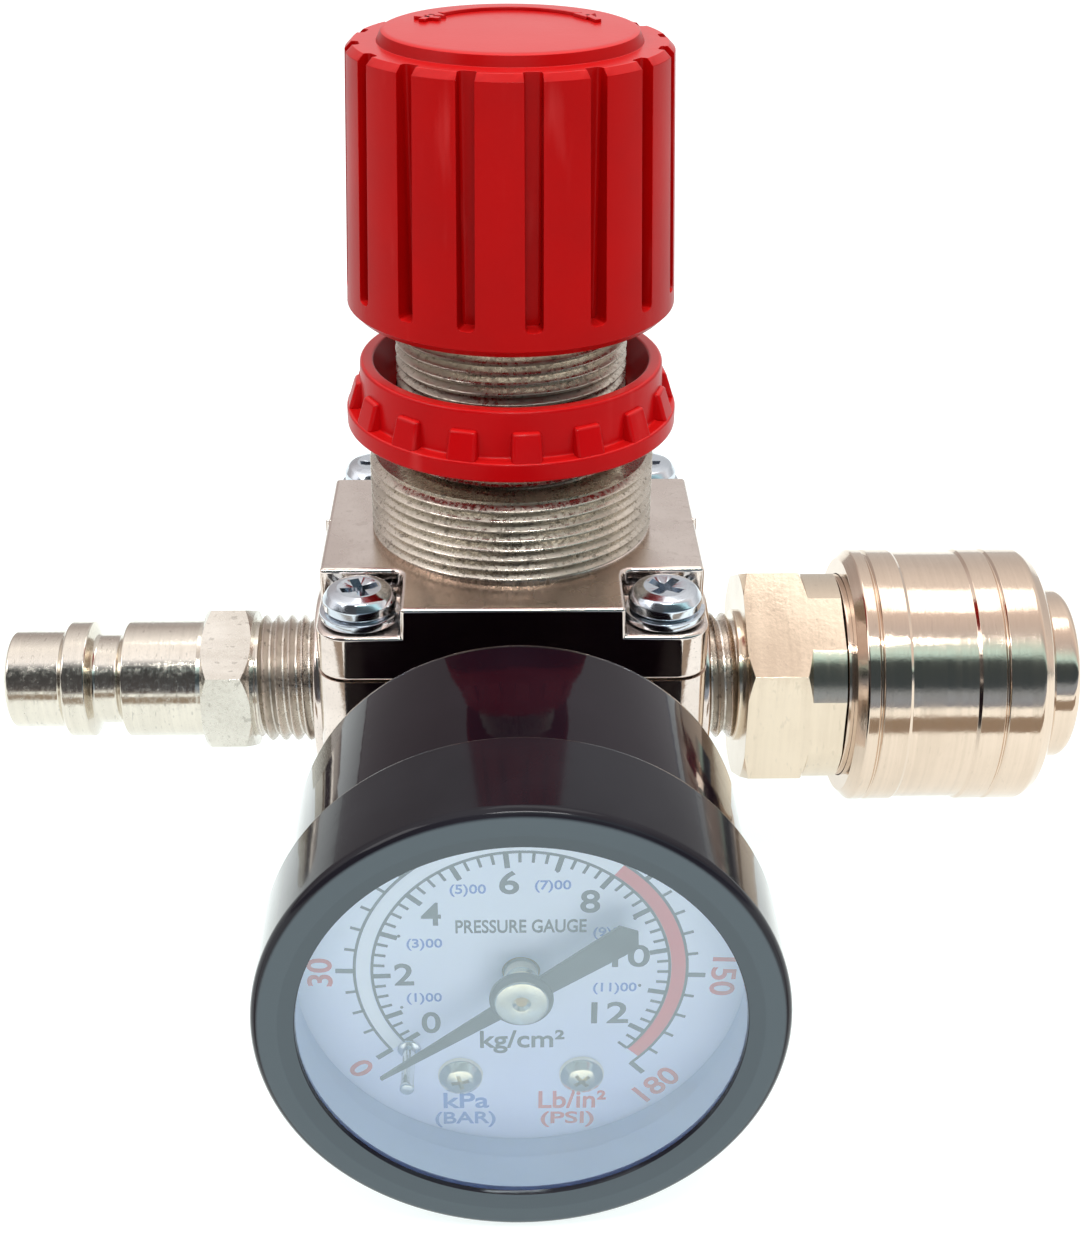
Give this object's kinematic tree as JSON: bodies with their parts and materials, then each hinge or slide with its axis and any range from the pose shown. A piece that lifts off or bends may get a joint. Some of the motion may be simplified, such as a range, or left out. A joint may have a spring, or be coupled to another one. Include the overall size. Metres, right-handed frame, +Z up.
{
  "type": "carbon dioxide regulator",
  "caption": "Plug-in gas pressure regulator with adjusting knob, lock ring, round pressure gauge, inlet plug and quick-release outlet coupler.",
  "frame": {"origin": "centre of the bottom plug's flat face, on the knob axis", "axes": "+Z up along the knob axis, +X along the flow from the inlet plug to the outlet coupler, the gauge looks towards -Y"},
  "size_m": [0.1096, 0.0733, 0.0874],
  "materials": {
    "nickel_cast": "nickel-plated zinc casting, satin bright",
    "nickel_turned": "nickel-plated turned steel, bright with fine turning lines",
    "bright_zinc": "bright zinc-plated steel",
    "black_rubber": "moulded nitrile rubber",
    "aluminium": "plain pressed",
    "brass": "turned and pressed",
    "spring_steel": "drawn wire and ground balls",
    "red_plastic": "moulded, satin gloss",
    "black_gloss": "gloss black",
    "clear_window": "clear",
    "dial_print": "white enamel with printed scale",
    "pointer_black": "satin black",
    "bronze_tube": "drawn phosphor bronze"
  },
  "bodies": {
    "regulator": {"valve_body": "nickel_cast", "bonnet": "nickel_cast", "bonnet_screws": "bright_zinc", "spring_washers": "bright_zinc", "diaphragm": "black_rubber", "poppet_spring": "spring_steel", "bottom_plug": "nickel_cast", "bottom_seal": "black_rubber", "rear_port_plug": "nickel_turned", "range_spring": "spring_steel", "plug_nipple": "nickel_turned", "coupler_adapter": "nickel_turned", "coupler_barrel": "nickel_turned", "sleeve_spring": "spring_steel", "sleeve_stop_ring": "spring_steel", "coupler_valve_spring": "spring_steel", "plug_seal": "black_rubber", "gauge_stem": "brass", "gauge_case": "black_gloss", "case_screws": "bright_zinc", "gauge_bezel": "black_gloss", "window_gasket": "black_rubber", "gauge_window": "clear_window", "gauge_dial": "dial_print", "dial_ring": "dial_print", "dial_posts": "brass", "dial_screws": "brass", "stop_pin": "brass", "movement_back_plate": "brass", "movement_screws": "brass", "movement_front_plate": "brass", "movement_pillars": "brass", "hairspring": "brass", "bourdon_tube": "bronze_tube"},
    "spring_seat_body": {"spring_seat": "bright_zinc"},
    "knob_body": {"knob": "red_plastic"},
    "lock_ring_body": {"lock_ring": "red_plastic"},
    "valve_body_poppet": {"valve_poppet": "brass", "poppet_seal": "black_rubber"},
    "diaphragm_stack": {"diaphragm_plate": "aluminium", "relief_seat": "brass"},
    "sleeve_body": {"coupler_sleeve": "nickel_turned"},
    "outlet_valve": {"coupler_valve": "brass", "coupler_valve_seal": "black_rubber"},
    "pointer_body": {"pointer": "pointer_black", "pointer_bush": "brass", "pointer_arbor": "brass"},
    "sector_body": {"sector_gear": "brass"},
    "link_body": {"tube_link": "brass"},
    "ball_1": {"locking_ball_1": "spring_steel"},
    "ball_2": {"locking_ball_2": "spring_steel"},
    "ball_3": {"locking_ball_3": "spring_steel"},
    "ball_4": {"locking_ball_4": "spring_steel"},
    "ball_5": {"locking_ball_5": "spring_steel"},
    "ball_6": {"locking_ball_6": "spring_steel"}
  },
  "joints": [
    {"name": "spring_seat_travel", "type": "slide", "parent": "regulator", "child": "spring_seat_body", "axis": [0, 0, 1], "range_m": [-0.0045, 0.001], "deforming": ["range_spring"]},
    {"name": "knob_turn", "type": "hinge", "parent": "spring_seat_body", "child": "knob_body", "pos_m": [0, 0, 0.07], "axis": [0, 0, 1], "range_deg": [-1620, 360]},
    {"name": "lock_ring_turn", "type": "hinge", "parent": "regulator", "child": "lock_ring_body", "pos_m": [0, 0, 0.054], "axis": [0, 0, 1], "range_deg": [-30, 90]},
    {"name": "main_valve_travel", "type": "slide", "parent": "regulator", "child": "valve_body_poppet", "axis": [0, 0, -1], "range_m": [0, 0.001], "stiffness_N_per_m": 400, "springref_m": -0.0005, "deforming": ["poppet_spring"]},
    {"name": "diaphragm_travel", "type": "slide", "parent": "regulator", "child": "diaphragm_stack", "axis": [0, 0, -1], "range_m": [0, 0.001], "deforming": ["diaphragm"]},
    {"name": "sleeve_pull", "type": "slide", "parent": "regulator", "child": "sleeve_body", "axis": [-1, 0, 0], "range_m": [0, 0.003], "stiffness_N_per_m": 900, "springref_m": -0.002, "deforming": ["sleeve_spring"]},
    {"name": "outlet_valve_push", "type": "slide", "parent": "regulator", "child": "outlet_valve", "axis": [-1, 0, 0], "range_m": [0, 0.0023], "stiffness_N_per_m": 300, "springref_m": -0.002, "deforming": ["coupler_valve_spring"]},
    {"name": "sector_turn", "type": "hinge", "parent": "regulator", "child": "sector_body", "pos_m": [0.0004, -0.0405, 0.0137], "axis": [0, 1, 0], "range_deg": [-47.8, 0]},
    {"name": "pointer_turn", "type": "hinge", "parent": "regulator", "child": "pointer_body", "pos_m": [0.0004, -0.0445, 0.0215], "axis": [0, 1, 0], "range_deg": [0, 263], "deforming": ["hairspring"]},
    {"name": "tube_link_turn", "type": "hinge", "parent": "sector_body", "child": "link_body", "pos_m": [-0.00289, -0.0415, 0.01224], "axis": [0, 1, 0], "range_deg": [0, 47.8]},
    {"name": "ball_travel_1", "type": "slide", "parent": "regulator", "child": "ball_1", "axis": [0, 0, 1], "range_m": [0, 0.0007]},
    {"name": "ball_travel_2", "type": "slide", "parent": "regulator", "child": "ball_2", "axis": [0, 0.866, 0.5], "range_m": [0, 0.0007]},
    {"name": "ball_travel_3", "type": "slide", "parent": "regulator", "child": "ball_3", "axis": [0, 0.866, -0.5], "range_m": [0, 0.0007]},
    {"name": "ball_travel_4", "type": "slide", "parent": "regulator", "child": "ball_4", "axis": [0, 0, -1], "range_m": [0, 0.0007]},
    {"name": "ball_travel_5", "type": "slide", "parent": "regulator", "child": "ball_5", "axis": [0, -0.866, -0.5], "range_m": [0, 0.0007]},
    {"name": "ball_travel_6", "type": "slide", "parent": "regulator", "child": "ball_6", "axis": [0, -0.866, 0.5], "range_m": [0, 0.0007]}
  ],
  "couplings": [
    {"joint": "spring_seat_travel", "follows": "knob_turn", "m_per_rad": 0.00015915},
    {"joint": "diaphragm_travel", "follows": "main_valve_travel", "ratio": 1},
    {"joint": "pointer_turn", "follows": "sector_turn", "ratio": -5.5},
    {"joint": "tube_link_turn", "follows": "sector_turn", "ratio": -1},
    {"joint": "ball_travel_1", "follows": "sleeve_pull", "ratio": 0.2333},
    {"joint": "ball_travel_2", "follows": "sleeve_pull", "ratio": 0.2333},
    {"joint": "ball_travel_3", "follows": "sleeve_pull", "ratio": 0.2333},
    {"joint": "ball_travel_4", "follows": "sleeve_pull", "ratio": 0.2333},
    {"joint": "ball_travel_5", "follows": "sleeve_pull", "ratio": 0.2333},
    {"joint": "ball_travel_6", "follows": "sleeve_pull", "ratio": 0.2333}
  ]
}
